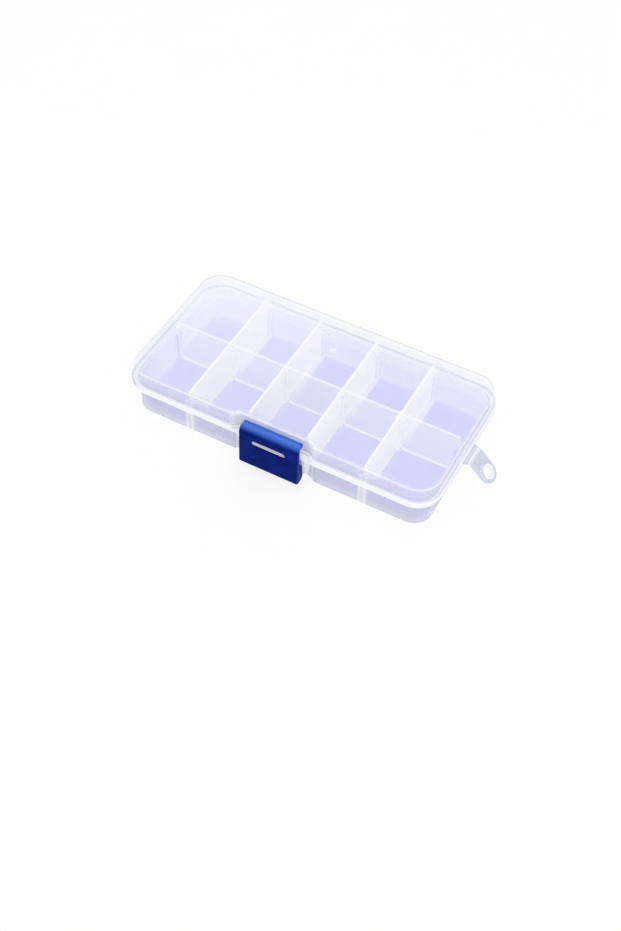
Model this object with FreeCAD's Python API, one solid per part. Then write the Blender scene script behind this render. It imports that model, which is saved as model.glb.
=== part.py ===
import FreeCAD, Part
import os
from math import atan2, cos, hypot, pi, radians, sin, tan
from FreeCAD import Vector

# Compartment storage box: a hinged two-piece shell with a latch, a hang tab and loose dividers.
# Millimetres, +Z up. The origin is the centre of the tray's underside, and the latch faces -Y.

# Overall sizes of the closed box
lid_length = 130.4
lid_depth = 66.6
box_height = 22.0
parting_height = 14.3
corner_radius = 9.5

# Walls of the two shells
lid_wall = 1.1
lid_top = 1.2
lid_draft = 0.15
tray_wall = 1.2
tray_floor = 1.3
tray_draft = 0.5
lip_height = 1.5
lip_gap = 0.4
seat_gap = 0.05

# Rounded and chamfered edges
lid_edge_radius = 0.7
lid_inner_chamfer = 0.4
tray_edge_chamfer = 0.8
tray_inner_chamfer = 0.9
flange_chamfer = 0.3

# Flanges that meet at the parting plane
flange_reach = 1.1
flange_thickness = 1.2

# Shallow recess in the front of both shells, behind the latch
recess_depth = 2.0
recess_slope_run = 2.4
recess_radius = 3.5
lid_lip_reach = 0.4

# Dividers and the rib pairs that hold them
columns = 5
divider_thickness = 1.2
divider_top_gap = 0.45
divider_end_gap = 0.15
slot_clearance = 0.15
rib_width = 1.0
rib_reach = 0.9
rib_root = 0.5
cross_top_radius = 1.0
cross_bottom_radius = 2.0
short_top_radius = 0.6
short_bottom_radius = 3.0
short_rib_drop = 1.0

# Latch, turning on a bar that snaps into the tray's ears
latch_width = 25.2
latch_thickness = 2.0
latch_top_drop = 1.3
latch_bottom = 0.3
latch_proud = 3.2
latch_roll_radius = 3.4
latch_corner_radius = 1.2
latch_hook_gap = 0.3
latch_hook_thickness = 1.4
latch_hook_radius = 0.6
latch_chamfer = 0.3
latch_foot_depth = 5.2
latch_foot_height = 7.0
latch_gusset_height = 4.4
latch_toe_radius = 1.8
latch_heel_radius = 2.4
latch_blend_radius = 1.2
pivot_back = 2.6
pivot_height = 3.4
pivot_radius = 0.8
pivot_clearance = 0.05
pivot_end_inset = 1.0
window_width = 14.5
window_height = 3.0
window_drop = 0.2
window_radius = 1.3

# Ears in slots behind the latch, guard ribs beside it and the catch lug in its window
ear_inset = 2.8
ear_thickness = 1.6
ear_gap = 0.3
ear_boss_radius = 1.4
guard_gap = 0.5
guard_thickness = 1.4
guard_setback = 0.7
guard_taper = 0.8
guard_foot = 4.9
guard_web_radius = 2.4
shelf_gap = 0.4
lug_side_gap = 0.4
lug_top_gap = 0.7
lug_setback = 0.3
lug_radius = 0.5

# Back hinge: hooks on the lid over bars on the tray
hinge_spacing = 76.0
hinge_hook_width = 12.0
hinge_hook_gap = 0.3
hinge_hook_wrap = 205.0
hinge_bar_radius = 1.1
hinge_clearance = 0.08
hinge_flange_gap = 0.4
hinge_ear_thickness = 1.6
hinge_boss_radius = 1.9
hinge_gusset_height = 4.0

# Hang tab on the right-hand end, folded down on its thin line
tab_width = 9.0
tab_length = 12.6
tab_thickness = 1.2
tab_fold_angle = 45.0
tab_hole_radius = 2.4
tab_ring_width = 0.9
tab_ring_height = 0.35
tab_fold_gap = 0.3
stub_length = 2.7
stub_root_width = 11.4

# Moulding gate mark on the lid
gate_back = 16.0
gate_dimple_radius = 1.6
gate_dimple_depth = 0.35
gate_pip_radius = 0.6
gate_pip_height = 0.25

# Sizes that follow from the ones above
half_length = lid_length / 2
half_depth = lid_depth / 2
tray_grow = -(lid_wall + lip_gap)
inner_grow = tray_grow - tray_wall
flange_bottom = parting_height - flange_thickness
lid_bottom = parting_height + seat_gap
lid_flange_top = lid_bottom + flange_thickness
lid_ceiling = box_height - lid_top
divider_foot = tray_floor + seat_gap
divider_top = lid_ceiling - divider_top_gap
slot_width = divider_thickness + 2 * slot_clearance
column_pitch = 2 * (half_length + inner_grow) / columns
flange_front = -(half_depth + flange_reach)
latch_top = box_height - latch_top_drop
window_middle = parting_height - window_drop
ear_spacing = latch_width - 2 * ear_inset
guard_inner = latch_width / 2 + guard_gap
guard_outer = guard_inner + guard_thickness
recess_floor = guard_outer
recess_mouth = recess_floor + recess_slope_run
recess_wall = -(half_depth + tray_grow - recess_depth) + tray_draft
lid_lip_front = -(half_depth - recess_depth + lid_lip_reach)
latch_front = -(half_depth + latch_proud)
latch_inside = latch_front + latch_thickness
pivot_y = latch_front + pivot_back
hinge_hook_inner = hinge_bar_radius + hinge_clearance
hinge_hook_outer = hinge_hook_inner + flange_thickness
hinge_y = half_depth + flange_reach + hinge_flange_gap + hinge_hook_outer
hinge_z = lid_flange_top - hinge_hook_outer
fold_x = half_length + flange_reach + stub_length
fold_z = parting_height - tab_thickness / 2
tab_root_radius = tab_thickness / 2
eps = 1e-6


def on_plan(z):
    """Places a 2D point on the horizontal plane at height z."""
    return lambda u, v: Vector(u, v, z)


def on_side(x):
    """Places a 2D point (y, z) on the upright plane at x."""
    return lambda u, v: Vector(x, u, v)


def on_front(y):
    """Places a 2D point (x, z) on the upright plane at y."""
    return lambda u, v: Vector(u, y, v)


def round_corner(before, corner, after, radius):
    """Start, middle and end of the arc that rounds one corner of an outline."""
    ax, ay = before[0] - corner[0], before[1] - corner[1]
    bx, by = after[0] - corner[0], after[1] - corner[1]
    a_length, b_length = hypot(ax, ay), hypot(bx, by)
    ax, ay, bx, by = ax / a_length, ay / a_length, bx / b_length, by / b_length
    half = atan2(abs(ax * by - ay * bx), ax * bx + ay * by) / 2
    reach = radius / tan(half)
    mx, my = ax + bx, ay + by
    m_length = hypot(mx, my)
    middle = radius / sin(half) - radius
    start = (corner[0] + ax * reach, corner[1] + ay * reach)
    end = (corner[0] + bx * reach, corner[1] + by * reach)
    return start, (corner[0] + mx / m_length * middle, corner[1] + my / m_length * middle), end


def outline(corners, place):
    """Closed wire through (u, v, radius) corners, with an arc at each corner that has a radius."""
    edges = []
    runs = []
    count = len(corners)
    for i, corner in enumerate(corners):
        if corner[2] > 0:
            start, middle, end = round_corner(corners[i - 1], corner, corners[(i + 1) % count], corner[2])
        else:
            start = middle = end = corner[:2]
        runs.append((start, middle, end))
    for i, (start, middle, end) in enumerate(runs):
        if start != end:
            edges.append(Part.Arc(place(*start), place(*middle), place(*end)).toShape())
        following = runs[(i + 1) % count][0]
        if hypot(following[0] - end[0], following[1] - end[1]) > eps:
            edges.append(Part.LineSegment(place(*end), place(*following)).toShape())
    return Part.Wire(edges)


def prism(corners, place, travel):
    """Solid made by pushing an outline along a vector."""
    return Part.Face(outline(corners, place)).extrude(travel)


def box(x0, x1, y0, y1, z0, z1):
    """Plain block between two corners."""
    return Part.makeBox(x1 - x0, y1 - y0, z1 - z0, Vector(x0, y0, z0))


def bar(radius, x0, x1, y, z):
    """Round bar along X."""
    return Part.makeCylinder(radius, x1 - x0, Vector(x0, y, z), Vector(1, 0, 0))


def edges_at(solid, z):
    """Edges of a solid that lie flat at height z."""
    return [e for e in solid.Edges if max(abs(e.BoundBox.ZMin - z), abs(e.BoundBox.ZMax - z)) < 1e-4]


def end_edges(solid, x):
    """Edges of a solid that lie in the upright planes at x and -x."""
    flat = [e for e in solid.Edges if e.BoundBox.XLength < 1e-4]
    return [e for e in flat if abs(abs(e.BoundBox.XMin) - x) < 1e-4]


def plan(grow, recess):
    """Corners of the box outline, grown outward, with the latch recess in its front."""
    x, y = half_length + grow, half_depth + grow
    r = corner_radius + grow
    dip = recess_radius
    front = [(-x, -y, r), (x, -y, r)]
    if recess > 0:
        left = [(-recess_mouth, -y, dip), (-recess_floor, recess - y, dip)]
        right = [(recess_floor, recess - y, dip), (recess_mouth, -y, dip)]
        front[1:1] = left + right
    return front + [(x, y, r), (-x, y, r)]


def shell(low_grow, low_z, high_grow, high_z):
    """Box-shaped solid whose walls lean from one outline to another."""
    low = outline(plan(low_grow, recess_depth), on_plan(low_z))
    high = outline(plan(high_grow, recess_depth), on_plan(high_z))
    return Part.makeLoft([low, high], True, True)


def upright(grow, recess, z0, z1):
    """Box-shaped solid with upright walls."""
    return prism(plan(grow, recess), on_plan(z0), Vector(0, 0, z1 - z0))


def join(first, *others):
    """One solid out of several that touch."""
    return first.fuse(list(others)).removeSplitter()


def mirrored(shape):
    """The same shape on the other side of the middle plane."""
    return shape.mirror(Vector(0, 0, 0), Vector(1, 0, 0))


def column_lines():
    """Middle of each cross divider along X."""
    return [(i - columns / 2) * column_pitch for i in range(1, columns)]


def wall_lean(z):
    """How far the tray's inner wall has leaned in at height z."""
    return tray_draft * (1 - min(z, parting_height) / parting_height)


def front_inner(x):
    """Inner face of the tray's front wall at x, at the parting plane."""
    recess = recess_depth if abs(x) < recess_mouth else 0
    return -(half_depth + inner_grow - recess)


def wall_ribs():
    """Rib pairs on the front and back walls for the cross dividers, and on the ends for the short ones."""
    ribs = []
    deep = rib_reach + tray_draft
    for x in column_lines():
        for side in (-1, 1):
            near = x + side * slot_width / 2
            far = near + side * rib_width
            x0, x1 = min(near, far), max(near, far)
            front, back = front_inner(x), half_depth + inner_grow
            ribs.append(box(x0, x1, front - rib_root, front + deep, tray_floor - rib_root, parting_height))
            ribs.append(box(x0, x1, back - deep, back + rib_root, tray_floor - rib_root, parting_height))
    end = half_length + inner_grow
    for side in (-1, 1):
        y0 = min(side * slot_width / 2, side * (slot_width / 2 + rib_width))
        for x0 in (-end - rib_root, end - deep):
            x1 = x0 + deep + rib_root
            ribs.append(box(x0, x1, y0, y0 + rib_width, tray_floor - rib_root, parting_height))
    return ribs


def latch_ear():
    """Right-hand ear behind the latch that carries the end of its pivot bar."""
    low, high = pivot_height - ear_boss_radius, pivot_height + ear_boss_radius
    start = (ear_spacing - ear_thickness) / 2
    arm = box(start, start + ear_thickness, pivot_y, recess_wall, low, high)
    return arm.fuse(bar(ear_boss_radius, start, start + ear_thickness, pivot_y, pivot_height))


def latch_guard():
    """Right-hand rib beside the latch, and the curved web that runs it into the flange."""
    front = flange_front + guard_setback
    side = [
        (recess_wall, flange_bottom + rib_root, 0),
        (front, flange_bottom + rib_root, 0),
        (front + guard_taper, guard_foot, guard_taper),
        (recess_wall, guard_foot - guard_taper, 0),
    ]
    rib = prism(side, on_side(guard_inner), Vector(guard_thickness, 0, 0))
    web_x, web_z = guard_outer + guard_web_radius, flange_bottom - guard_web_radius
    web = box(guard_outer - rib_root, web_x, front, recess_wall, web_z, flange_bottom + rib_root)
    start = Vector(web_x, front, web_z)
    scoop = Part.makeCylinder(guard_web_radius, recess_wall - front, start, Vector(0, 1, 0))
    return rib.fuse(web.cut(scoop))


def catch_lug():
    """Lug on the flange that stands in the latch's window."""
    half = window_width / 2 - lug_side_gap
    top = window_middle + window_height / 2 - lug_top_gap
    front = latch_front + lug_setback
    side = [
        (latch_inside + shelf_gap + rib_root, flange_bottom, 0),
        (latch_inside + shelf_gap + rib_root, top, 0),
        (front, top, lug_radius),
        (front, flange_bottom, lug_radius),
    ]
    return prism(side, on_side(-half), Vector(2 * half, 0, 0))


def hinge_bracket(x):
    """Two gusseted ears behind the back wall with the round bar between them."""
    root = half_depth + tray_grow - tray_draft
    low = hinge_z - hinge_boss_radius
    reach = hinge_hook_width / 2 + hinge_hook_gap
    side = [
        (root, parting_height, 0),
        (hinge_y, parting_height, 0),
        (hinge_y, low, 0),
        (root, low - hinge_gusset_height, 0),
    ]
    pieces = [bar(hinge_bar_radius, x - reach - rib_root, x + reach + rib_root, hinge_y, hinge_z)]
    for start in (x - reach - hinge_ear_thickness, x + reach):
        pieces.append(prism(side, on_side(start), Vector(hinge_ear_thickness, 0, 0)))
        pieces.append(bar(hinge_boss_radius, start, start + hinge_ear_thickness, hinge_y, hinge_z))
    return pieces


def tab_stub():
    """Tapered stub on the right-hand flange that the hang tab folds from."""
    root = half_length + flange_reach - rib_root
    end = fold_x - tab_root_radius - tab_fold_gap
    corners = [
        (root, -stub_root_width / 2, 0),
        (end, -tab_width / 2, 0),
        (end, tab_width / 2, 0),
        (root, stub_root_width / 2, 0),
    ]
    return prism(corners, on_plan(parting_height - tab_thickness), Vector(0, 0, tab_thickness))


def make_tray():
    """Lower shell with its flange, lip, ribs, ears, lug, hinge brackets and tab stub."""
    outer = shell(tray_grow - tray_draft, 0, tray_grow, parting_height)
    outer = outer.makeChamfer(tray_edge_chamfer, edges_at(outer, 0))
    lean = wall_lean(tray_floor)
    inner = shell(inner_grow - lean, tray_floor, inner_grow, parting_height)
    inner = inner.makeChamfer(tray_inner_chamfer, edges_at(inner, tray_floor))
    lip = upright(tray_grow, recess_depth, parting_height, parting_height + lip_height)
    mouth = upright(inner_grow, recess_depth, parting_height, parting_height + 2 * lip_height)
    flange = upright(flange_reach, 0, flange_bottom, parting_height)
    shelf_front = latch_inside + shelf_gap
    step = box(-guard_inner, guard_inner, 2 * flange_front, shelf_front, flange_bottom, parting_height)
    flange = flange.makeChamfer(flange_chamfer, edges_at(flange, flange_bottom)).cut(step)
    body = join(outer, flange, lip).cut(join(inner, mouth))
    extras = [catch_lug(), tab_stub()]
    for half in (latch_ear(), latch_guard()):
        extras += [half, mirrored(half)]
    for x in (-hinge_spacing / 2, hinge_spacing / 2):
        extras += hinge_bracket(x)
    body = join(body, *extras, *wall_ribs())
    hole = pivot_radius + pivot_clearance
    return body.cut(bar(hole, -guard_inner, guard_inner, pivot_y, pivot_height))


def hinge_hook(x):
    """Hook that carries on from the lid's flange and curls down round the tray's bar."""
    start = x - hinge_hook_width / 2
    width = Vector(hinge_hook_width, 0, 0)
    axis = Vector(start, hinge_y, hinge_z)
    tube = Part.makeCylinder(hinge_hook_outer, hinge_hook_width, axis, Vector(1, 0, 0), hinge_hook_wrap)
    tube.rotate(axis, Vector(1, 0, 0), 90 - hinge_hook_wrap)
    bore = bar(hinge_hook_inner, start, start + hinge_hook_width, hinge_y, hinge_z)
    arm_side = [
        (half_depth + lid_lip_reach, lid_bottom, 0),
        (hinge_y, lid_bottom, 0),
        (hinge_y, lid_flange_top, 0),
        (half_depth + lid_lip_reach, lid_flange_top, 0),
    ]
    arm = prism(arm_side, on_side(start), width)
    return tube.fuse(arm).cut(bore)


def make_lid():
    """Cover with rolled top edge, skirt, flange, latch recess, hinge hooks and gate mark."""
    outer = shell(0, lid_bottom, -lid_draft, box_height)
    outer = outer.makeFillet(lid_edge_radius, edges_at(outer, box_height))
    lean = lid_draft * (lid_ceiling - lid_bottom) / (box_height - lid_bottom)
    inner = shell(-lid_wall, lid_bottom, -lid_wall - lean, lid_ceiling)
    inner = inner.makeChamfer(lid_inner_chamfer, edges_at(inner, lid_ceiling))
    lip_recess = recess_depth + flange_reach - lid_lip_reach
    flange = upright(flange_reach, lip_recess, lid_bottom, lid_flange_top)
    flange = flange.makeChamfer(flange_chamfer, edges_at(flange, lid_flange_top))
    body = join(outer, flange).cut(inner)
    body = join(body, *[hinge_hook(x) for x in (-hinge_spacing / 2, hinge_spacing / 2)])
    floor = box_height - gate_dimple_depth
    dimple = Part.makeCylinder(gate_dimple_radius, lid_top, Vector(0, gate_back, floor))
    pip = Part.makeCylinder(gate_pip_radius, gate_pip_height, Vector(0, gate_back, floor))
    return join(body.cut(dimple), pip)


def make_latch():
    """Catch with rolled hook, window, slotted foot and the pivot bar across the slots."""
    tip = lid_lip_front - latch_hook_gap
    heel = latch_front + latch_foot_depth
    under = latch_top - latch_hook_thickness
    side = [
        (latch_front, latch_bottom, latch_toe_radius),
        (latch_front, latch_top, latch_roll_radius),
        (tip, latch_top, latch_hook_radius),
        (tip, under, latch_hook_radius),
        (latch_inside, under, latch_hook_radius),
        (latch_inside, latch_foot_height + latch_gusset_height, latch_blend_radius),
        (heel, latch_foot_height, latch_blend_radius),
        (heel, latch_bottom, latch_heel_radius),
    ]
    body = prism(side, on_side(-latch_width / 2), Vector(latch_width, 0, 0))
    body = body.makeChamfer(latch_chamfer, end_edges(body, latch_width / 2))
    face = [
        (-latch_width / 2, -latch_bottom, 0),
        (latch_width / 2, -latch_bottom, 0),
        (latch_width / 2, latch_top, latch_corner_radius),
        (-latch_width / 2, latch_top, latch_corner_radius),
    ]
    body = body.common(prism(face, on_front(latch_front), Vector(0, latch_foot_depth, 0)))
    half, low = window_width / 2, window_middle - window_height / 2
    window = [
        (-half, low, window_radius),
        (half, low, window_radius),
        (half, low + window_height, window_radius),
        (-half, low + window_height, window_radius),
    ]
    body = body.cut(prism(window, on_front(2 * latch_front), Vector(0, -latch_front + latch_proud, 0)))
    slot_half = ear_thickness / 2 + ear_gap
    slot_front = pivot_y - ear_boss_radius - ear_gap
    slot_top = pivot_height + ear_boss_radius + ear_gap
    for x in (-ear_spacing / 2, ear_spacing / 2):
        body = body.cut(box(x - slot_half, x + slot_half, slot_front, 0, -latch_bottom, slot_top))
    reach = latch_width / 2 - pivot_end_inset
    return join(body, bar(pivot_radius, -reach, reach, pivot_y, pivot_height))


def make_hang_tab():
    """Round-ended tongue with a ringed hole, modelled level and then folded down."""
    centre = tab_length - tab_width / 2
    half = tab_thickness / 2
    edge = [
        Part.LineSegment(Vector(0, -tab_width / 2, -half), Vector(centre, -tab_width / 2, -half)).toShape(),
        Part.Arc(
            Vector(centre, -tab_width / 2, -half),
            Vector(tab_length, 0, -half),
            Vector(centre, tab_width / 2, -half),
        ).toShape(),
        Part.LineSegment(Vector(centre, tab_width / 2, -half), Vector(0, tab_width / 2, -half)).toShape(),
        Part.LineSegment(Vector(0, tab_width / 2, -half), Vector(0, -tab_width / 2, -half)).toShape(),
    ]
    tongue = Part.Face(Part.Wire(edge)).extrude(Vector(0, 0, tab_thickness))
    root = Part.makeCylinder(half, tab_width, Vector(0, -tab_width / 2, 0), Vector(0, 1, 0))
    ring_half = half + tab_ring_height
    ring = Part.makeCylinder(tab_hole_radius + tab_ring_width, 2 * ring_half, Vector(centre, 0, -ring_half))
    hole = Part.makeCylinder(tab_hole_radius, 3 * tab_thickness, Vector(centre, 0, -1.5 * tab_thickness))
    tab = join(tongue, root, ring).cut(hole)
    tab.rotate(Vector(0, 0, 0), Vector(0, 1, 0), tab_fold_angle)
    tab.translate(Vector(fold_x, 0, fold_z))
    return tab


def make_cross_divider(x):
    """Long plate from front to back with a rib pair on each face for the short dividers."""
    front = front_inner(x) + divider_end_gap
    back = half_depth + inner_grow - divider_end_gap
    lean = wall_lean(divider_foot)
    side = [
        (front + lean, divider_foot, cross_bottom_radius),
        (front, parting_height, 0),
        (front, divider_top, cross_top_radius),
        (back, divider_top, cross_top_radius),
        (back, parting_height, 0),
        (back - lean, divider_foot, cross_bottom_radius),
    ]
    plate = prism(side, on_side(x - divider_thickness / 2), Vector(divider_thickness, 0, 0))
    reach = divider_thickness / 2 + rib_reach
    ribs = []
    for y in (-slot_width / 2 - rib_width, slot_width / 2):
        ribs.append(box(x - reach, x + reach, y, y + rib_width, divider_foot, divider_top - short_rib_drop))
    return join(plate, *ribs)


def make_short_divider(column):
    """Short plate across one column, rounded below to clear the floor's corner."""
    lines = column_lines()
    gap = divider_thickness / 2 + divider_end_gap
    end = half_length + inner_grow - divider_end_gap
    left = -end if column == 0 else lines[column - 1] + gap
    right = end if column == columns - 1 else lines[column] - gap
    lean = wall_lean(divider_foot)
    low_left = left + (lean if column == 0 else 0)
    low_right = right - (lean if column == columns - 1 else 0)
    face = [
        (low_left, divider_foot, short_bottom_radius),
        (low_right, divider_foot, short_bottom_radius),
        (right, parting_height, 0),
        (right, divider_top, short_top_radius),
        (left, divider_top, short_top_radius),
        (left, parting_height, 0),
    ]
    return prism(face, on_front(-divider_thickness / 2), Vector(0, divider_thickness, 0))


def main():
    """Builds every piece and writes one file for each."""
    pieces = {
        "tray": make_tray(),
        "lid": make_lid(),
        "latch": make_latch(),
        "hang_tab": make_hang_tab(),
    }
    for i, x in enumerate(column_lines()):
        pieces["cross_divider_%d" % (i + 1)] = make_cross_divider(x)
    for i in range(columns):
        pieces["short_divider_%d" % (i + 1)] = make_short_divider(i)
    os.makedirs("parts", exist_ok=True)
    for name, shape in pieces.items():
        print(name, len(shape.Solids), shape.isValid(), round(shape.Volume, 1))
        shape.exportStep("parts/%s.step" % name)


main()
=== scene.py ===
from math import cos, radians, sin

import bmesh
import bpy
from bpy.props import FloatProperty, FloatVectorProperty, PointerProperty
from mathutils import Matrix, Vector


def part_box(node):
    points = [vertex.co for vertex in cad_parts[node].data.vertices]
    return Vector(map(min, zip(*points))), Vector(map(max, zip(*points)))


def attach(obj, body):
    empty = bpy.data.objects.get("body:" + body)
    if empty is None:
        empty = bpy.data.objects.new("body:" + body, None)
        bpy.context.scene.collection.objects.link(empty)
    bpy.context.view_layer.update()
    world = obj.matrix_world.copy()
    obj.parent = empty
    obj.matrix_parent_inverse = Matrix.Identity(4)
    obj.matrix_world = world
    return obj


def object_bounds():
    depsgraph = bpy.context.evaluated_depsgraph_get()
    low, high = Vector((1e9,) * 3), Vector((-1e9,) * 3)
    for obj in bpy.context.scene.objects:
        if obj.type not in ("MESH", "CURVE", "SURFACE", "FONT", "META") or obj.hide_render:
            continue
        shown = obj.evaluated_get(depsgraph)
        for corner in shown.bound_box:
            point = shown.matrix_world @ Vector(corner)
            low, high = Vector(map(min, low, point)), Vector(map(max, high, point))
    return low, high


bl_info = {
    "name": "Compartment Box Looks",
    "version": (1, 0, 0),
    "blender": (4, 5, 0),
    "location": "View3D > Sidebar > Parts Box",
    "description": "Clear, white and blue plastic finishes for a hinged compartment box",
    "category": "Material",
}

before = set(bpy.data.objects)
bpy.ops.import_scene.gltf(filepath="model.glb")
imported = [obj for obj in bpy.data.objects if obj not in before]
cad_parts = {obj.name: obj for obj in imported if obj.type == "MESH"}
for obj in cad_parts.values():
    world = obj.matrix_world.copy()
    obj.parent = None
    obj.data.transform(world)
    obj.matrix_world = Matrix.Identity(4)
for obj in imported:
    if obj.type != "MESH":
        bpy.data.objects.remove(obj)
cad_box = [list(corner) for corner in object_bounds()]

# Pieces of the frame and their corners, in millimetres
MM = 1000.0
CROSS_DIVIDERS = [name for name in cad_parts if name.startswith("cross_divider")]
SHORT_DIVIDERS = [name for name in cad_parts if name.startswith("short_divider")]
LID_LOW, LID_HIGH = [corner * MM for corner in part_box("lid")]
LATCH_LOW, LATCH_HIGH = [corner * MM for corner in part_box("latch")]
DIVIDER_LOW, DIVIDER_HIGH = [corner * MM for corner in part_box("cross_divider_1")]

# Sizes of the shells that the finishes follow, in millimetres
FLANGE_REACH = 1.1
FLANGE_THICKNESS = 1.2
SKIRT_HALF_LENGTH = -LID_LOW.x - FLANGE_REACH
SKIRT_HALF_DEPTH = -LID_LOW.y - FLANGE_REACH
CORNER_RADIUS = 9.5
RECESS_DEPTH = 2.0
RECESS_FRONT = RECESS_DEPTH - SKIRT_HALF_DEPTH
RECESS_HALF_WIDTH = 15.7
GUARD_END = 18.4
LID_TOP = LID_HIGH.z
LID_THICKNESS = 1.2
LID_CEILING = LID_TOP - LID_THICKNESS
GATE_BACK = 16.0
PARTING = 14.3
FLANGE_UNDER = PARTING - FLANGE_THICKNESS
TRAY_FLOOR = 1.3
COLUMNS = 5
INNER_SETBACK = 2.7
COLUMN_PITCH = 2 * (SKIRT_HALF_LENGTH - INNER_SETBACK) / COLUMNS
COLUMN_END = SKIRT_HALF_DEPTH - INNER_SETBACK

# Hang tab, in millimetres and degrees
STUB_LENGTH = 2.7
TAB_THICKNESS = 1.2
TAB_LENGTH = 12.6
TAB_HALF_WIDTH = 4.5
TAB_HOLE = TAB_LENGTH - TAB_HALF_WIDTH
FOLD_X = -LID_LOW.x + STUB_LENGTH
FOLD_Z = PARTING - TAB_THICKNESS / 2
FOLD_ANGLE = 45.0

# Clear plastic: shares, and the pitch and depth of its moulded skin in millimetres
CLEAR_IOR = 1.49
CLEAR_LAYERS = 40
LIGHT_PASSED = 0.9
HAZE_DETAIL = 3.0
HAZE_SWING = 0.16
HAZE_ROUGHNESS = 0.12
SKIN_PITCH = 0.6
SKIN_DETAIL = 2.0
SKIN_STRENGTH = 0.08
SKIN_DEPTH = 0.05


def paint(red, green, blue):
    """Linear colour for 8-bit display values."""
    shares = [value / 255 for value in (red, green, blue)]
    return tuple(s / 12.92 if s <= 0.04045 else ((s + 0.055) / 1.055) ** 2.4 for s in shares)


def toward(start, goal, share):
    """A share of the way from one value to another."""
    return start + (goal - start) * share


def colour_setting(name, description, default):
    """A colour that the user can change."""
    return FloatVectorProperty(
        name=name, description=description, default=default, size=3, subtype="COLOR", min=0, max=1
    )


def share_setting(name, description, default):
    """A share from 0 to 1 that the user can change."""
    return FloatProperty(
        name=name, description=description, default=default, min=0, max=1, subtype="FACTOR"
    )


class Wire:
    """One shader socket. Arithmetic on it adds Math nodes to the same finish."""

    def __init__(self, finish, socket):
        self.finish = finish
        self.socket = socket

    def other(self, out):
        """Another output of the same node."""
        return Wire(self.finish, self.socket.node.outputs[out])

    def axes(self):
        """x, y and z of a place."""
        x = self.finish.node("ShaderNodeSeparateXYZ", inputs={0: self})
        return x, x.other("Y"), x.other("Z")

    def math(self, operation, *values):
        return self.finish.node("ShaderNodeMath", {"operation": operation}, dict(enumerate(values)))

    def __add__(self, other):
        return self.math("ADD", self, other)

    __radd__ = __add__

    def __sub__(self, other):
        return self.math("SUBTRACT", self, other)

    def __rsub__(self, other):
        return self.math("SUBTRACT", other, self)

    def __mul__(self, other):
        return self.math("MULTIPLY", self, other)

    __rmul__ = __mul__

    def __pow__(self, power):
        return self.math("POWER", self, power)

    def __abs__(self):
        return self.math("ABSOLUTE", self)

    def larger(self, other):
        return self.math("MAXIMUM", self, other)

    def smaller(self, other):
        return self.math("MINIMUM", self, other)

    def rise(self, low, high):
        """0 below low, 1 above high, eased between."""
        return self.finish.node(
            "ShaderNodeMapRange", {"interpolation_type": "SMOOTHSTEP"}, {0: self, 1: low, 2: high}
        )

    def fall(self, low, high):
        """1 below low, 0 above high, eased between."""
        return 1 - self.rise(low, high)


class Finish:
    """The nodes of one material or world."""

    def __init__(self, tree):
        self.tree = tree
        tree.nodes.clear()

    def node(self, kind, settings=(), inputs=(), out=0):
        """Adds a node, sets it, fills its sockets and returns one of its outputs, if it has any."""
        made = self.tree.nodes.new(kind)
        for name, value in dict(settings).items():
            setattr(made, name, value)
        for name, value in dict(inputs).items():
            if isinstance(value, Wire):
                self.tree.links.new(value.socket, made.inputs[name])
            else:
                made.inputs[name].default_value = value
        return Wire(self, made.outputs[out]) if made.outputs else None

    def blend(self, share, first, second):
        """Mixes two colours."""
        first, second = [c if isinstance(c, Wire) else (*c, 1) for c in (first, second)]
        return self.node("ShaderNodeMix", {"data_type": "RGBA"}, {0: share, 6: first, 7: second}, 2)

    def spot(self):
        """The piece's own coordinates in millimetres."""
        metres = self.node("ShaderNodeTexCoord", out="Object")
        return self.node("ShaderNodeVectorMath", {"operation": "SCALE"}, {0: metres, "Scale": MM})

    def cloud(self, spot, pitch, detail):
        """Soft noise from 0 to 1 with about this many millimetres between its patches."""
        return self.node(
            "ShaderNodeTexNoise", inputs={"Vector": spot, "Scale": 1 / pitch, "Detail": detail}
        )

    def bump(self, height, strength, depth):
        """Normal for a height that varies over the surface."""
        return self.node(
            "ShaderNodeBump", inputs={"Height": height, "Strength": strength, "Distance": depth / MM}
        )

    def surface(self, sockets):
        """Ends the finish in a plastic shader."""
        shader = self.node("ShaderNodeBsdfPrincipled", inputs=sockets)
        self.node("ShaderNodeOutputMaterial", inputs={"Surface": shader})

    def clear_surface(self, spot, colour, cover, roughness, patch):
        """Ends the finish in milky plastic, which lets light pass more freely than sight."""
        haze = self.cloud(spot, patch, HAZE_DETAIL) - 0.5
        skin = self.cloud(spot, SKIN_PITCH, SKIN_DETAIL)
        ray = self.node("ShaderNodeLightPath", out="Is Shadow Ray")
        light = ray.larger(ray.other("Is Diffuse Ray"))
        self.surface({
            "Base Color": colour,
            "Alpha": cover * (1 + HAZE_SWING * haze) * (1 - LIGHT_PASSED * light),
            "Roughness": roughness + HAZE_ROUGHNESS * haze,
            "IOR": CLEAR_IOR,
            "Normal": self.bump(skin, SKIN_STRENGTH, SKIN_DEPTH),
        })


def new_finish(name):
    """A new material and its nodes."""
    material = bpy.data.materials.new(name)
    material.use_nodes = True
    return material, Finish(material.node_tree)


def dress(material, *names):
    """Puts a material on CAD pieces."""
    for name in names:
        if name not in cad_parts:
            raise RuntimeError("the frame has no piece named " + name)
        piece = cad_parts[name]
        if not piece.material_slots:
            piece.data.materials.append(material)
        for held in piece.material_slots:
            held.material = material


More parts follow.
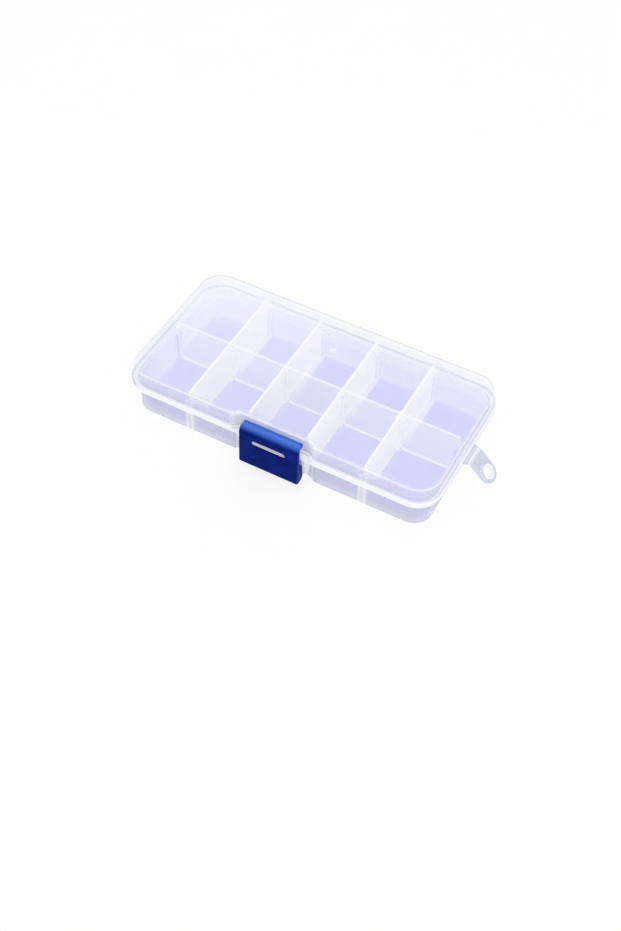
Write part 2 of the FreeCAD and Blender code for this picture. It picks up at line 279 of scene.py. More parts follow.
def outline_distance(x, y):
    """Millimetres out from the lid's outline, with the latch recess in its front."""
    over_x = abs(x) - (SKIRT_HALF_LENGTH - CORNER_RADIUS)
    over_y = abs(y) - (SKIRT_HALF_DEPTH - CORNER_RADIUS)
    corner = (over_x.larger(0) ** 2 + over_y.larger(0) ** 2) ** 0.5
    straight = over_x.larger(over_y).smaller(0)
    recess = (RECESS_FRONT - y).smaller(RECESS_HALF_WIDTH - abs(x))
    return (corner + straight - CORNER_RADIUS).larger(recess)


def from_column_line(x):
    """Millimetres from the nearest line of cross dividers."""
    half = COLUMN_PITCH / 2
    return abs(x.math("WRAP", x - half, -half, half))


class LidLook(bpy.types.PropertyGroup):
    """Finish of the clear lid."""

    top_colour: colour_setting("Top", "Tint of the flat top", paint(240, 242, 255))
    skirt_colour: colour_setting("Skirt", "Tint of the upright skirt", paint(216, 219, 244))
    # Painted highlight: white for the lid's bright edges, flange, gate mark and latch guard, and for
    # the whiter patch on its top
    edge_colour: colour_setting("Edges", "Colour of the bright edges", paint(252, 252, 255))
    # Painted shade: a greyer, darker reflection on the outer rim at the back and left
    rim_shade_colour: colour_setting("Rim", "Colour of the rim at the back and left", paint(196, 198, 212))
    rim_shade_cover: share_setting("Rim cover", "How much that rim hides", 0.6)
    # A whiter, less clear patch on the top at the back-left, with a fainter rise toward the left end
    patch_cover: share_setting("Haze", "How much more the cloudy patch near the gate hides", 0.2)
    top_cover: share_setting("Top cover", "How much the flat top hides", 0.09)
    skirt_cover: share_setting("Skirt cover", "How much the skirt hides", 0.26)
    edge_cover: share_setting("Edge cover", "How much the top edge hides", 0.5)
    flange_cover: share_setting("Flange cover", "How much the flange hides", 0.85)
    roughness: share_setting("Roughness", "Roughness of the plastic", 0.22)


class TrayLook(bpy.types.PropertyGroup):
    """Finish of the clear tray and of its hang tab."""

    floor_colour: colour_setting("Floor", "Tint of the floor", paint(183, 187, 243))
    # Painted shade: the outer front face and the right-hand end are greyer than the other outer faces
    front_shade_colour: colour_setting("Front wall", "Tint of the outer front face", paint(203, 202, 214))
    back_colour: colour_setting("Other walls", "Tint of the other outer faces", paint(222, 225, 250))
    inner_colour: colour_setting("Inner walls", "Tint of the inner faces", paint(196, 200, 252))
    # Painted shade at the foot, under the flange and at the right-hand end
    shade_colour: colour_setting("Shade", "Tint of the foot and right-hand end", paint(176, 176, 192))
    stub_colour: colour_setting("Stub", "Tint of the stub behind the fold", paint(208, 211, 230))
    tab_colour: colour_setting("Tab", "Tint of the hang tab", paint(188, 194, 218))
    # Painted highlight: white of the flange, ribs, web beside the latch, upper inner back wall and
    # hang tab rim and ring, and of the painted light on the floor beside the cross dividers
    edge_colour: colour_setting("Edges", "Colour of flange, ribs and edges", paint(250, 250, 255))
    floor_cover: share_setting("Floor cover", "How much the floor hides", 0.5)
    wall_cover: share_setting("Wall cover", "How much the outer faces hide", 0.52)
    shade_cover: share_setting("Shade cover", "How much the foot and right-hand end hide", 0.75)
    inner_cover: share_setting("Inner cover", "How much the inner faces hide", 0.4)
    edge_cover: share_setting("Edge cover", "How much the flange hides", 0.85)
    roughness: share_setting("Roughness", "Roughness of the plastic", 0.26)


class DividerLook(bpy.types.PropertyGroup):
    """Finish of the loose dividers."""

    cross_colour: colour_setting("Cross faces", "Colour of the cross dividers", paint(252, 253, 255))
    short_colour: colour_setting("Short faces", "Colour of the short dividers", paint(252, 255, 255))
    # Painted shade: the faces turn more lavender toward the floor
    low_shade_colour: colour_setting("Low faces", "Colour near the floor", paint(222, 226, 255))
    # Painted highlight: white of the divider edges
    edge_colour: colour_setting("Edges", "Colour of the bright edges", paint(253, 253, 255))
    cross_cover: share_setting("Cross cover", "How much the cross dividers hide", 0.78)
    short_cover: share_setting("Short cover", "How much the short dividers hide", 0.22)
    edge_cover: share_setting("Edge cover", "How much the edges hide", 0.6)
    roughness: share_setting("Roughness", "Roughness of the plastic", 0.32)


class LatchLook(bpy.types.PropertyGroup):
    """Finish of the blue latch."""

    colour: colour_setting("Blue", "Colour of the moulded plastic", paint(7, 33, 122))
    deep_colour: colour_setting("Deep blue", "Colour of its darker patches", paint(5, 25, 102))
    # Painted highlight: lighter blue where light falls on the rolled top
    roll_highlight_colour: colour_setting("Roll", "Colour of the rolled top", paint(66, 112, 214))
    gloss_tint: colour_setting("Gloss tint", "Tint of its reflections", paint(140, 176, 255))
    roughness: share_setting("Roughness", "Roughness of the plastic", 0.3)


class FilmLook(bpy.types.PropertyGroup):
    """Thin fold between the tray and the hang tab."""

    thickness: FloatProperty(
        name="Thickness",
        description="Thickness of the fold",
        default=0.0005,
        unit="LENGTH",
        min=0.0001,
    )
    width: FloatProperty(
        name="Width",
        description="Length of the fold line",
        default=0.0088,
        unit="LENGTH",
        min=0.001,
    )
    colour: colour_setting("Colour", "Colour of the stressed plastic", paint(252, 252, 255))


class StageLook(bpy.types.PropertyGroup):
    """Floor, light and camera."""

    floor_colour: colour_setting("Floor", "Colour of the floor", (0.92, 0.92, 0.92))
    ambient: FloatProperty(
        name="Ambient", description="Strength of the even light", default=0.93, min=0
    )
    top_power: FloatProperty(
        name="Top lamp", description="Power of the lamp overhead", default=0.7, unit="POWER", min=0
    )
    side_power: FloatProperty(
        name="Side lamp", description="Power of the right-hand lamp", default=0.7, unit="POWER", min=0
    )
    azimuth: FloatProperty(
        name="Azimuth", description="Turn of the camera", default=radians(25.87), subtype="ANGLE"
    )
    elevation: FloatProperty(
        name="Elevation", description="Height of the camera", default=radians(49.54), subtype="ANGLE"
    )
    roll: FloatProperty(
        name="Roll", description="Tilt of the camera", default=radians(-2.995), subtype="ANGLE"
    )
    distance: FloatProperty(
        name="Distance", description="Camera to box", default=0.5347, unit="LENGTH", min=0.1
    )
    lens: FloatProperty(
        name="Lens", description="Focal length", default=51.92, unit="CAMERA", min=1
    )


# Bands in which a tint comes or goes are pairs in millimetres: where it starts and where it ends.

# Lid: bands out from its outline
LID_WALL = (-1.5, -1.3)
LID_EDGE = (-0.85, -0.5)
LID_CORNER = (-0.5, -0.2)
LID_FLANGE_ROOT = (0.1, 0.25)
LID_FLANGE_LIP = (FLANGE_REACH - 0.4, FLANGE_REACH - 0.2)
LID_RIM = (FLANGE_REACH - 0.45, FLANGE_REACH - 0.25)
LID_HOOKS = (FLANGE_REACH + 0.2, FLANGE_REACH + 0.4)
# Lid: bands in height
LID_EDGE_HEIGHT = (LID_TOP - 0.9, LID_TOP - 0.5)
LID_CORNER_HEIGHT = (LID_TOP - 1.2, LID_TOP - 0.8)
LID_INNER_HEIGHT = (LID_CEILING - 1.0, LID_CEILING - 0.4)
GATE_HEIGHT = (LID_CEILING, LID_TOP - 0.6)
# Lid: bands along its length and depth, and around its gate
LID_LEFT_END = (-62.0, -58.0)
LID_BACK_SKIRT = (29.0, 31.5)
LID_BACK_RIM = (29.0, 32.0)
LID_GUARD_FRONT = (RECESS_FRONT - 0.2, RECESS_FRONT + 0.6)
LID_GUARD_SIDE = (GUARD_END, GUARD_END + 0.4)
GATE_RING = (1.2, 1.6)
PATCH_SLANT = (-60.0, 34.0)
PATCH_BACK = (-14.0, 18.0)
PATCH_LENGTH = (-50.0, 40.0)
# Lid: slope of the whiter patch, shares of each tint, and pitch of its haze in millimetres
PATCH_SLOPE = 0.6
PATCH_BACK_LEFT = 0.75
PATCH_LEFTWARD = 0.2
PATCH_WHITER = 0.6
FLANGE_LIP_SHARE = 0.65
LID_INNER_SHARE = 0.3
LID_GUARD_SHARE = 0.6
BACK_SKIRT_CLEARER = 0.4
BACK_SKIRT_WHITER = 0.85
HOOKS_CLEARER = 0.45
LID_PATCH = 9.0


class PARTS_BOX_OT_lid(bpy.types.Operator):
    """Clear lid with painted highlights on its edges, flange, gate mark and latch guard"""

    bl_idname = "parts_box.lid"
    bl_label = "Lid"

    def execute(self, context):
        look = context.scene.parts_box_lid
        material, finish = new_finish("clear lid")
        spot = finish.spot()
        x, y, z = spot.axes()
        out = outline_distance(x, y)
        skirt = out.rise(*LID_WALL)
        back = y.rise(*LID_BACK_SKIRT)
        hooks = out.rise(*LID_HOOKS)
        flange = toward(out.rise(*LID_FLANGE_ROOT), out.rise(*LID_FLANGE_LIP), FLANGE_LIP_SHARE)
        # Painted highlights: the top edge, the inner edge under the ceiling, the gate mark and the
        # guard beside the latch are whitened
        edge = out.rise(*LID_EDGE) * z.rise(*LID_EDGE_HEIGHT)
        inner = LID_INNER_SHARE * skirt * z.rise(*LID_INNER_HEIGHT)
        guard = LID_GUARD_SHARE * y.fall(*LID_GUARD_FRONT) * abs(x).fall(*LID_GUARD_SIDE)
        from_gate = (x ** 2 + (y - GATE_BACK) ** 2) ** 0.5
        gate = from_gate.fall(*GATE_RING) * z.rise(*GATE_HEIGHT)
        painted_highlight = edge.larger(inner).larger(gate).larger(guard)
        # Whiter, less clear patch on the top toward the back-left, fading to the right; not on the
        # skirt
        back_left_patch = (x + PATCH_SLOPE * y).fall(*PATCH_SLANT) * y.rise(*PATCH_BACK)
        whiter_patch = PATCH_BACK_LEFT * back_left_patch + PATCH_LEFTWARD * x.fall(*PATCH_LENGTH)
        whiter_patch = whiter_patch * (1 - skirt)
        # Painted shade: the outer rim and top corner at the back and left are greyed as a darker
        # reflection
        rim = out.rise(*LID_RIM) * (1 - hooks)
        corner = out.rise(*LID_CORNER) * z.rise(*LID_CORNER_HEIGHT)
        painted_rim_shade = x.fall(*LID_LEFT_END).larger(y.rise(*LID_BACK_RIM)) * rim.larger(corner)

        cover = toward(look.top_cover, look.skirt_cover, skirt * (1 - BACK_SKIRT_CLEARER * back))
        cover = cover + look.patch_cover * whiter_patch
        cover = toward(cover, look.edge_cover, painted_highlight)
        cover = toward(cover, look.rim_shade_cover, painted_rim_shade)
        cover = toward(cover, look.flange_cover, flange * (1 - HOOKS_CLEARER * hooks))

        tinted = skirt * (1 - BACK_SKIRT_WHITER * back)
        # White holds the painted highlights, the flange's painted highlight and the whiter patch
        white = painted_highlight.larger(flange).larger(PATCH_WHITER * whiter_patch)
        colour = finish.blend(tinted, look.top_colour, look.skirt_colour)
        colour = finish.blend(white, colour, look.edge_colour)
        colour = finish.blend(painted_rim_shade, colour, look.rim_shade_colour)
        finish.clear_surface(spot, colour, cover, look.roughness, LID_PATCH)
        dress(material, "lid")
        return {"FINISHED"}


# Tray: bands out from the lid's outline
TRAY_WALL = (-2.35, -2.25)
TRAY_FLANGE = (-1.3, -1.1)
FLOOR_EDGE = (-3.6, -3.0)
RIB_REACH = (-4.4, -4.0)
# Tray: bands in height
FOOT_HEIGHT = (0.9, 1.7)
FLOOR_HEIGHT = (TRAY_FLOOR + 0.2, TRAY_FLOOR + 1.1)
BACK_TOP_HEIGHT = (8.0, 12.0)
UNDER_FLANGE_HEIGHT = (FLANGE_UNDER - 1.6, FLANGE_UNDER - 0.1)
LIP_HEIGHT = (PARTING - 0.1, PARTING + 0.1)
# Tray: bands along its length and depth
LUG_SIDE = (8.0, 9.0)
LUG_FRONT = (RECESS_FRONT, RECESS_FRONT + 1.0)
TRAY_GUARD_TURN = (9.0, 11.0)
TRAY_GUARD_SIDE = (GUARD_END, GUARD_END + 2.0)
TRAY_GUARD_FRONT = (RECESS_FRONT - 0.6, RECESS_FRONT)
LAST_RIB = (49.0, 50.0)
LAST_STRIP = (56.0, 58.0)
GREY_END = (58.0, 62.0)
GREY_FRONT = (-30.0, -4.0)
SHADED_END = (60.0, 62.0)
SHADED_END_BACK = (-26.0, -20.0)
END_FLANGE = (64.0, 65.5)
STUB_START = (66.2, 66.4)
STRIP_BACK_ROW = (2.0, 8.0)
BACK_TOP_START = (20.0, 28.0)
# Tray: bands to the side of a line of cross dividers
RIB_SLOT = (0.5, 0.8)
RIB_SIDE = (1.7, 2.0)
STRIP_SIDE = (2.0, 3.2)
# Tray: shares of each tint, and pitch of its haze in millimetres
LIP_SHARE = 0.25
RIB_SHARE = 0.7
RIB_SLOT_SHARE = 0.6
GUARD_MIDDLE_SHARE = 0.15
GUARD_SIDE_SHARE = 0.5
BACK_TOP_SHARE = 0.7
END_FLANGE_DIMMER = 0.6
LUG_DIMMER = 0.6
LUG_PALER = 0.8
UNDER_FLANGE_SHARE = 0.5
SHADED_END_SHARE = 0.7
OTHER_WALLS_SHARE = 0.5
FRONT_INSIDE_CLEARER = 0.6
STRIP_FRONT_SHARE = 0.08
STRIP_BACK_SHARE = 0.58
TRAY_PATCH = 8.0


class PARTS_BOX_OT_tray(bpy.types.Operator):
    """Clear tray with a tinted floor, painted highlights on its flange and ribs, and painted shade on
    its front, foot, under its flange and at its right-hand end
    """

    bl_idname = "parts_box.tray"
    bl_label = "Tray"

    def execute(self, context):
        look = context.scene.parts_box_tray
        material, finish = new_finish("clear tray")
        spot = finish.spot()
        x, y, z = spot.axes()
        side = abs(x)
        out = outline_distance(x, y)
        line = from_column_line(x)
        inside = out.fall(*TRAY_WALL)
        floor = z.fall(*FLOOR_HEIGHT) * out.fall(*FLOOR_EDGE)
        stub = x.rise(*STUB_START)
        lug = side.fall(*LUG_SIDE) * y.fall(*LUG_FRONT)

        # Painted highlights: the flange, the wall ribs, the web beside the latch and the top of the
        # inner back wall are whitened; the flange dims at the right-hand end and behind the latch
        flange = out.rise(*TRAY_FLANGE).larger(LIP_SHARE * z.rise(*LIP_HEIGHT)) * (1 - stub)
        flange = flange * (1 - END_FLANGE_DIMMER * x.rise(*END_FLANGE)) * (1 - LUG_DIMMER * lug)
        ribs = toward(RIB_SLOT_SHARE, 1, line.rise(*RIB_SLOT)) * line.fall(*RIB_SIDE)
        ribs = RIB_SHARE * ribs * side.fall(*LAST_RIB) * out.rise(*RIB_REACH) * (1 - floor)
        guard = toward(GUARD_MIDDLE_SHARE, GUARD_SIDE_SHARE, side.rise(*TRAY_GUARD_TURN))
        guard = guard * side.fall(*TRAY_GUARD_SIDE) * y.fall(*TRAY_GUARD_FRONT)
        back_top = BACK_TOP_SHARE * inside * y.rise(*BACK_TOP_START) * z.rise(*BACK_TOP_HEIGHT)
        bright = flange.larger(ribs).larger(guard).larger(back_top)

        # Painted shade: the outer front wall and right-hand end are greyer, darker at the foot, under
        # the flange and along the right-hand end
        grey = y.fall(*GREY_FRONT).larger(x.rise(*GREY_END)) * (1 - LUG_PALER * lug)
        low_or_high = z.fall(*FOOT_HEIGHT).larger(UNDER_FLANGE_SHARE * z.rise(*UNDER_FLANGE_HEIGHT))
        end = SHADED_END_SHARE * x.rise(*SHADED_END) * y.rise(*SHADED_END_BACK)
        shade = (low_or_high * grey).larger(end) * (1 - inside)
        # Painted light: the floor is whitened beside each line of cross dividers, more in the back
        # row
        strip = toward(STRIP_FRONT_SHARE, STRIP_BACK_SHARE, y.rise(*STRIP_BACK_ROW))
        strip = strip * line.fall(*STRIP_SIDE) * side.fall(*LAST_STRIP)

        outer_cover = look.wall_cover * toward(OTHER_WALLS_SHARE, 1, grey)
        inner_share = inside * (1 - FRONT_INSIDE_CLEARER * grey)
        cover = toward(outer_cover, look.inner_cover, inner_share)
        cover = toward(cover, look.floor_cover, floor)
        cover = toward(cover, look.shade_cover, shade)
        cover = toward(cover, look.edge_cover, bright)

        outside = finish.blend(grey, look.back_colour, look.front_shade_colour)
        outside = finish.blend(shade, outside, look.shade_colour)
        colour = finish.blend(inside, outside, look.inner_colour)
        floor_tint = finish.blend(strip, look.floor_colour, look.edge_colour)
        colour = finish.blend(floor, colour, floor_tint)
        colour = finish.blend(bright, colour, look.edge_colour)
        colour = finish.blend(stub, colour, look.stub_colour)
        finish.clear_surface(spot, colour, cover, look.roughness, TRAY_PATCH)
        dress(material, "tray")
        return {"FINISHED"}


# Dividers: bands in height, at the ends and middle of a cross divider and at a short one's ends
DIVIDER_TOP_EDGE = (DIVIDER_HIGH.z - 0.25, DIVIDER_HIGH.z - 0.05)
DIVIDER_FOOT_EDGE = (DIVIDER_LOW.z + 0.3, DIVIDER_LOW.z + 0.9)
DIVIDER_FACE = (DIVIDER_LOW.z, DIVIDER_HIGH.z)
CROSS_END = (COLUMN_END - 1.1, COLUMN_END - 0.6)
CROSS_MIDDLE = (1.7, 2.0)
SHORT_END = (0.9, 1.3)
# Dividers: shares of each tint, and pitch of their haze in millimetres
DIVIDER_TOP_SHARE = 0.8
DIVIDER_LOW_SHARE = 0.2
CROSS_MIDDLE_SHARE = 0.6
SHORT_END_SHARE = 0.1
DIVIDER_PATCH = 7.0


class PARTS_BOX_OT_dividers(bpy.types.Operator):
    """Milky dividers with painted highlights on their edges and painted shade toward the floor"""

    bl_idname = "parts_box.dividers"
    bl_label = "Dividers"

    def cross_edges(self, x, y):
        """Ends of a cross divider, and the ribs in its middle that hold the short ones."""
        return abs(y).rise(*CROSS_END).larger(CROSS_MIDDLE_SHARE * abs(y).fall(*CROSS_MIDDLE))

    def short_edges(self, x, y):
        """Ends of a short divider."""
        return SHORT_END_SHARE * from_column_line(x).fall(*SHORT_END)

    def milky(self, look, name, face_colour, face_cover, edges):
        material, finish = new_finish(name)
        spot = finish.spot()
        x, y, z = spot.axes()
        # Painted highlights on the top, ends, middle ribs and foot of each divider
        top = DIVIDER_TOP_SHARE * z.rise(*DIVIDER_TOP_EDGE)
        foot = z.fall(*DIVIDER_FOOT_EDGE)
        bright = top.larger(edges(x, y)).larger(foot)
        # Painted shade toward the floor
        low = DIVIDER_LOW_SHARE * z.fall(*DIVIDER_FACE)
        colour = finish.blend(low, face_colour, look.low_shade_colour)
        colour = finish.blend(bright, colour, look.edge_colour)
        cover = toward(face_cover, look.edge_cover, bright)
        finish.clear_surface(spot, colour, cover, look.roughness, DIVIDER_PATCH)
        return material

    def execute(self, context):
        look = context.scene.parts_box_dividers
        cross = self.milky(
            look, "milky cross divider", look.cross_colour, look.cross_cover, self.cross_edges
        )
        short = self.milky(
            look, "milky short divider", look.short_colour, look.short_cover, self.short_edges
        )
        dress(cross, *CROSS_DIVIDERS)
        dress(short, *SHORT_DIVIDERS)
        return {"FINISHED"}


# Latch: bands of the painted highlight on its rolled top, and shares, pitches and depths of its grain
ROLL_HEIGHT = (LATCH_HIGH.z - 2.4, LATCH_HIGH.z)
ROLL_BACK = (LATCH_LOW.y + 2.7, LATCH_LOW.y + 3.7)
ROLL_CURVE = 1.5
ROLL_BACK_SHADE = 0.35
ROLL_COAT = 0.4
ROLL_COAT_ROUGHNESS = 0.25
LATCH_IOR = 1.45
LATCH_SPECULAR = 0.03
LATCH_PATCH = 5.0
LATCH_PATCH_SHARES = (0.3, 0.7)
GRAIN_PITCH = 0.35
GRAIN_DETAIL = 2.0
GRAIN_ROUGHNESS = 0.14
GRAIN_STRENGTH = 0.12
GRAIN_DEPTH = 0.03


class PARTS_BOX_OT_latch(bpy.types.Operator):
    """Blue latch with a painted highlight on its rolled top and painted shade toward its back edge"""

    bl_idname = "parts_box.latch"
    bl_label = "Latch"

    def execute(self, context):
        look = context.scene.parts_box_latch
        material, finish = new_finish("blue latch")
        spot = finish.spot()
        y, z = spot.axes()[1:]
        patch = finish.cloud(spot, LATCH_PATCH, GRAIN_DETAIL)
        grain = finish.cloud(spot, GRAIN_PITCH, GRAIN_DETAIL)
        # Painted highlight on the rolled top, with painted shade toward its back edge; the coat
        # follows it
        roll = z.rise(*ROLL_HEIGHT) ** ROLL_CURVE * (1 - ROLL_BACK_SHADE * y.rise(*ROLL_BACK))
        colour = finish.blend(patch.rise(*LATCH_PATCH_SHARES), look.colour, look.deep_colour)
        finish.surface({
            "Base Color": finish.blend(roll, colour, look.roll_highlight_colour),
            "Roughness": look.roughness + GRAIN_ROUGHNESS * (grain - 0.5),
            "IOR": LATCH_IOR,
            "Specular IOR Level": LATCH_SPECULAR,
            "Coat Weight": ROLL_COAT * roll,
            "Coat Roughness": ROLL_COAT_ROUGHNESS,
            "Specular Tint": (*look.gloss_tint, 1),
            "Normal": finish.bump(grain, GRAIN_STRENGTH, GRAIN_DEPTH),
        })
        dress(material, "latch")
        return {"FINISHED"}


# Hang tab: bands from its hole, shares of each tint, and pitch of its haze, in millimetres
TAB_RIM = (TAB_HALF_WIDTH - 0.4, TAB_HALF_WIDTH - 0.1)
TAB_RING = (2.9, 3.2)
TAB_ROOT = (-TAB_HOLE, 0.3 - TAB_HOLE)
TAB_RIM_SHARE = 0.4
TAB_ROOT_SHARE = 0.5
TAB_PATCH = 5.0


class PARTS_BOX_OT_hang_tab(bpy.types.Operator):
    """Clear hang tab with painted highlights on its rim and ring"""

    bl_idname = "parts_box.hang_tab"
    bl_label = "Hang tab"

    def execute(self, context):
        look = context.scene.parts_box_tray
        material, finish = new_finish("clear hang tab")
        spot = finish.spot()
        x, y, z = spot.axes()
        tilt = radians(FOLD_ANGLE)
        along = (x - FOLD_X) * cos(tilt) - (z - FOLD_Z) * sin(tilt) - TAB_HOLE
        from_middle = (along.larger(0) ** 2 + y ** 2) ** 0.5
        from_hole = (along ** 2 + y ** 2) ** 0.5
        # Painted highlights on the rim and on the ring around the hole; the band at the fold is
        # whitened as well
        rim = TAB_RIM_SHARE * from_middle.rise(*TAB_RIM)
        root = TAB_ROOT_SHARE * along.fall(*TAB_ROOT)
        bright = rim.larger(from_hole.fall(*TAB_RING)).larger(root)
        colour = finish.blend(bright, look.tab_colour, look.edge_colour)
        cover = toward(look.wall_cover, look.edge_cover, bright)
        finish.clear_surface(spot, colour, cover, look.roughness, TAB_PATCH)
        dress(material, "hang_tab")
        return {"FINISHED"}


# Fold: ends of the film and pitch and depth of its crease in millimetres, steps and shares
FILM_START = FOLD_X - 1.0
FILM_END = FOLD_X - 0.45
FILM_STEPS = 6
FILM_FLARE = 0.5
CREASE_PITCH = 0.4
CREASE_DETAIL = 2.0
CREASE_ROUGHNESS = 0.4
CREASE_ROUGHNESS_SWING = 0.2
CREASE_STRENGTH = 0.2
CREASE_DEPTH = 0.05


class PARTS_BOX_OT_fold_film(bpy.types.Operator):
    """Thin whitened fold that joins the hang tab to the tray"""

    bl_idname = "parts_box.fold_film"
    bl_label = "Fold film"

    def shape(self, look):
        """Mesh of a strip that is thinnest in the middle."""
        low = []
        high = []
        strip = bmesh.new()
        for i in range(FILM_STEPS + 1):
            share = i / FILM_STEPS
            across = toward(FILM_START, FILM_END, share) / MM
            half = look.thickness / 2 * (1 + FILM_FLARE * (2 * share - 1) ** 2)
            for side in (-1, 1):
                edge = side * look.width / 2
                low.append(strip.verts.new((across, edge, FOLD_Z / MM - half)))
                high.append(strip.verts.new((across, edge, FOLD_Z / MM + half)))
        for i in range(0, 2 * FILM_STEPS, 2):
            strip.faces.new((low[i], low[i + 1], low[i + 3], low[i + 2]))
            strip.faces.new((high[i], high[i + 2], high[i + 3], high[i + 1]))
            strip.faces.new((low[i], low[i + 2], high[i + 2], high[i]))
            strip.faces.new((low[i + 1], high[i + 1], high[i + 3], low[i + 3]))
        strip.faces.new((low[0], high[0], high[1], low[1]))
        strip.faces.new((low[-2], low[-1], high[-1], high[-2]))
        bmesh.ops.recalc_face_normals(strip, faces=strip.faces)
        mesh = bpy.data.meshes.new("fold_film")
        strip.to_mesh(mesh)
        strip.free()
        return mesh

    def execute(self, context):
        look = context.scene.parts_box_film
        film = bpy.data.objects.new("fold_film", self.shape(look))
        context.scene.collection.objects.link(film)
        material, finish = new_finish("whitened fold")
        crease = finish.cloud(finish.spot(), CREASE_PITCH, CREASE_DETAIL)
        finish.surface({
            "Base Color": (*look.colour, 1),
            "Roughness": CREASE_ROUGHNESS + CREASE_ROUGHNESS_SWING * (crease - 0.5),
            "Normal": finish.bump(crease, CREASE_STRENGTH, CREASE_DEPTH),
        })
        film.data.materials.append(material)
        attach(film, "tray_body")
        return {"FINISHED"}


# Stage: floor, lamps and camera in metres, the pitch of the floor's cloud in millimetres, shares
WHITE = (1, 1, 1, 1)
FLOOR_HALF = 4.0
FLOOR_DROP = 0.00005
FLOOR_PATCH = 30.0
FLOOR_DETAIL = 2.0
FLOOR_PALER = 0.97
FLOOR_SHOWN = 0.8
SHOWN_STRENGTH = 1.0
LAMP_AIM = (0, 0, 0.01)
TOP_LAMP_SIZE = 0.2
TOP_LAMP_PLACE = (-0.1, 0.0, 0.9)
SIDE_LAMP_SIZE = 0.3
SIDE_LAMP_PLACE = (0.8, -0.35, 0.55)
SENSOR_WIDTH = 36.0
CAMERA_NEAR = 0.01
CAMERA_AIM = Vector((0.0006, 0, 0))
AIM_LEFT = 0.00122
AIM_DOWN = 0.02042


class PARTS_BOX_OT_stage(bpy.types.Operator):
    """White floor, even light, two soft lamps and the camera"""

    bl_idname = "parts_box.stage"
    bl_label = "Stage"

    def lamp(self, context, name, power, size, place):
        data = bpy.data.lights.new(name, "AREA")
        data.energy = power
        data.size = size
        lamp = bpy.data.objects.new(name, data)
        lamp.location = place
        lamp.rotation_mode = "QUATERNION"
        lamp.rotation_quaternion = (Vector(LAMP_AIM) - Vector(place)).to_track_quat("-Z", "Y")
        context.scene.collection.objects.link(lamp)

    def seen_directly(self, finish):
        """1 for what the camera sees, also in a reflection or through a clear piece."""
        ray = finish.node("ShaderNodeLightPath", out="Is Camera Ray")
        return ray.larger(ray.other("Is Glossy Ray")).larger(ray.other("Is Transmission Ray"))

    def floor(self, context, look):
        half = FLOOR_HALF
        low = cad_box[0][2] - FLOOR_DROP
        corners = [(-half, -half, low), (half, -half, low), (half, half, low), (-half, half, low)]
        mesh = bpy.data.meshes.new("floor")
        mesh.from_pydata(corners, [], [(0, 1, 2, 3)])
        material, finish = new_finish("white floor")
        patch = finish.cloud(finish.spot(), FLOOR_PATCH, FLOOR_DETAIL)
        paler = tuple(FLOOR_PALER * c for c in look.floor_colour)
        tone = finish.blend(patch, look.floor_colour, paler)
        matt = finish.node("ShaderNodeBsdfDiffuse", inputs={"Color": tone})
        white = finish.node(
            "ShaderNodeEmission", inputs={"Color": WHITE, "Strength": SHOWN_STRENGTH}
        )
        shown = FLOOR_SHOWN * self.seen_directly(finish)
        mixed = finish.node("ShaderNodeMixShader", inputs={0: shown, 1: matt, 2: white})
        finish.node("ShaderNodeOutputMaterial", inputs={"Surface": mixed})
        mesh.materials.append(material)
        floor = bpy.data.objects.new("floor", mesh)
        context.scene.collection.objects.link(floor)

    def world(self, context, look):
        world = bpy.data.worlds.new("even light")
        world.use_nodes = True
        context.scene.world = world
        finish = Finish(world.node_tree)
        even = finish.node("ShaderNodeBackground", inputs={0: WHITE, 1: look.ambient})
        white = finish.node("ShaderNodeBackground", inputs={0: WHITE, 1: SHOWN_STRENGTH})
        shown = self.seen_directly(finish)
        mixed = finish.node("ShaderNodeMixShader", inputs={0: shown, 1: even, 2: white})
        finish.node("ShaderNodeOutputWorld", inputs={"Surface": mixed})

    def camera(self, context, look):
        turn, height = look.azimuth, look.elevation
        back = Vector((sin(turn) * cos(height), -cos(turn) * cos(height), sin(height)))
        level = Vector((0, 0, 1)).cross(back).normalized()
        upright = back.cross(level)
        right = cos(look.roll) * level - sin(look.roll) * upright
        up = sin(look.roll) * level + cos(look.roll) * upright
        data = bpy.data.cameras.new("camera")
        data.sensor_width = SENSOR_WIDTH
        data.lens = look.lens
        data.clip_start = CAMERA_NEAR
        camera = bpy.data.objects.new("camera", data)
        aim = CAMERA_AIM - AIM_LEFT * right - AIM_DOWN * up
        facing = Matrix((right, up, back)).transposed().to_4x4()
        camera.matrix_world = Matrix.Translation(aim + look.distance * back) @ facing
        context.scene.collection.objects.link(camera)
        context.scene.camera = camera

    def execute(self, context):
        look = context.scene.parts_box_stage
        self.floor(context, look)
        self.world(context, look)
        self.lamp(context, "top_lamp", look.top_power, TOP_LAMP_SIZE, TOP_LAMP_PLACE)
        self.lamp(context, "side_lamp", look.side_power, SIDE_LAMP_SIZE, SIDE_LAMP_PLACE)
        self.camera(context, look)
        context.scene.view_settings.view_transform = "Standard"
        context.scene.cycles.transparent_max_bounces = CLEAR_LAYERS
        return {"FINISHED"}


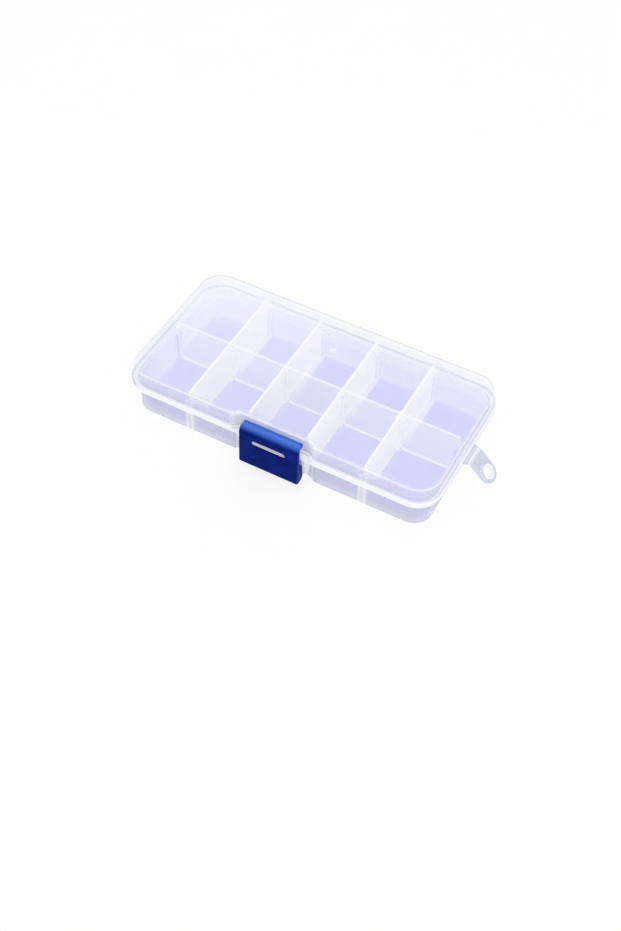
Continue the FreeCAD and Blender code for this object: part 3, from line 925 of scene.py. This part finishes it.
class PARTS_BOX_PT_panel(bpy.types.Panel):
    """Settings and operators for the box's pieces and stage"""

    bl_idname = "PARTS_BOX_PT_panel"
    bl_label = "Parts Box"
    bl_space_type = "VIEW_3D"
    bl_region_type = "UI"
    bl_category = "Parts Box"

    def draw(self, context):
        for group, operators in PIECES.items():
            look = getattr(context.scene, group)
            part = self.layout.box()
            for name in look.bl_rna.properties.keys():
                if name not in ("rna_type", "name"):
                    part.prop(look, name)
            for operator in operators:
                part.operator(operator)


LOOKS = {
    "parts_box_tray": TrayLook,
    "parts_box_lid": LidLook,
    "parts_box_dividers": DividerLook,
    "parts_box_latch": LatchLook,
    "parts_box_film": FilmLook,
    "parts_box_stage": StageLook,
}
PIECES = {
    "parts_box_tray": ("parts_box.tray", "parts_box.hang_tab"),
    "parts_box_lid": ("parts_box.lid",),
    "parts_box_dividers": ("parts_box.dividers",),
    "parts_box_latch": ("parts_box.latch",),
    "parts_box_film": ("parts_box.fold_film",),
    "parts_box_stage": ("parts_box.stage",),
}
OPERATORS = (
    PARTS_BOX_OT_tray,
    PARTS_BOX_OT_lid,
    PARTS_BOX_OT_dividers,
    PARTS_BOX_OT_latch,
    PARTS_BOX_OT_hang_tab,
    PARTS_BOX_OT_fold_film,
    PARTS_BOX_OT_stage,
)


def register():
    for look in LOOKS.values():
        bpy.utils.register_class(look)
    for name, look in LOOKS.items():
        setattr(bpy.types.Scene, name, PointerProperty(type=look))
    for operator in OPERATORS:
        bpy.utils.register_class(operator)
    bpy.utils.register_class(PARTS_BOX_PT_panel)


def unregister():
    bpy.utils.unregister_class(PARTS_BOX_PT_panel)
    for operator in reversed(OPERATORS):
        bpy.utils.unregister_class(operator)
    for name, look in LOOKS.items():
        delattr(bpy.types.Scene, name)
        bpy.utils.unregister_class(look)


def main():
    register()
    bpy.ops.parts_box.tray()
    bpy.ops.parts_box.lid()
    bpy.ops.parts_box.dividers()
    bpy.ops.parts_box.latch()
    bpy.ops.parts_box.hang_tab()
    bpy.ops.parts_box.fold_film()
    bpy.ops.parts_box.stage()


if __name__ == "__main__":
    main()
